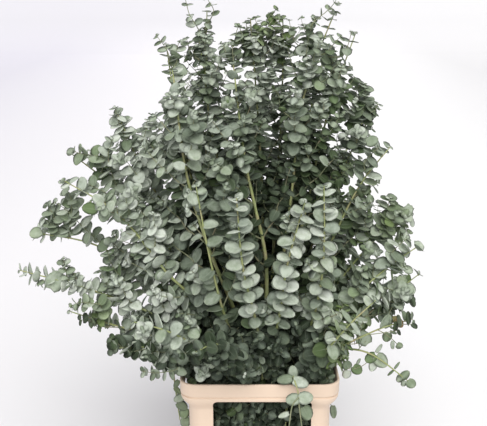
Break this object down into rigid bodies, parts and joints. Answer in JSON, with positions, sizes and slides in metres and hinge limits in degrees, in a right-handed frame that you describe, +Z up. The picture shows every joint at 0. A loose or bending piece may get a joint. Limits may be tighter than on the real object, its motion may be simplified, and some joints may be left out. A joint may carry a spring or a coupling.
{
  "type": "eucalyptus branches in a bucket",
  "caption": "Full bunch of cut eucalyptus branches with round grey-green leaves, standing in a cream plastic flower bucket with a windowed collar.",
  "frame": {"origin": "middle of the bucket's flat foot, on the surface it stands on", "axes": "+Z up along the bucket; the narrow front side of the collar faces -Y"},
  "size_m": [0.8033, 0.7545, 1.1416],
  "materials": {
    "stem": "satin",
    "leaf": "matte",
    "collar_plastic": "satin",
    "bucket_plastic": "satin"
  },
  "bodies": {
    "root": {"back_left": "stem", "back_left_drooping": "stem", "back_left_low": "stem", "back_left_top": "stem", "back_middle": "stem", "back_middle_low": "stem", "back_right": "stem", "back_right_drooping": "stem", "back_right_low": "stem", "back_right_top": "stem", "bucket": "bucket_plastic", "collar_foot": "collar_plastic", "collar_post_back_left": "collar_plastic", "collar_post_back_right": "collar_plastic", "collar_post_front_left": "collar_plastic", "collar_post_front_right": "collar_plastic", "collar_rim": "collar_plastic", "front_centre_low": "stem", "front_left_inner": "stem", "front_left_low": "stem", "front_middle": "stem", "front_right_inner": "stem", "front_right_low": "stem", "front_right_outer": "stem", "left_drooping": "stem", "left_high": "stem", "left_low": "stem", "left_lower_reach": "stem", "left_lowest": "stem", "left_middle": "stem", "left_reach": "stem", "left_top_spray": "stem", "left_upper": "stem", "over_left_rim": "stem", "over_rim_sprig": "stem", "right_hanging": "stem", "right_high": "stem", "right_low": "stem", "right_lowest": "stem", "right_middle": "stem", "right_reach": "stem", "right_shoulder": "stem", "right_upper": "stem", "side_left": "stem", "side_right": "stem", "stem_tall_left": "stem", "stem_tall_middle": "stem", "top_left": "stem", "top_middle": "stem", "top_right": "stem", "top_right_inner": "stem"}
  },
  "joints": []
}
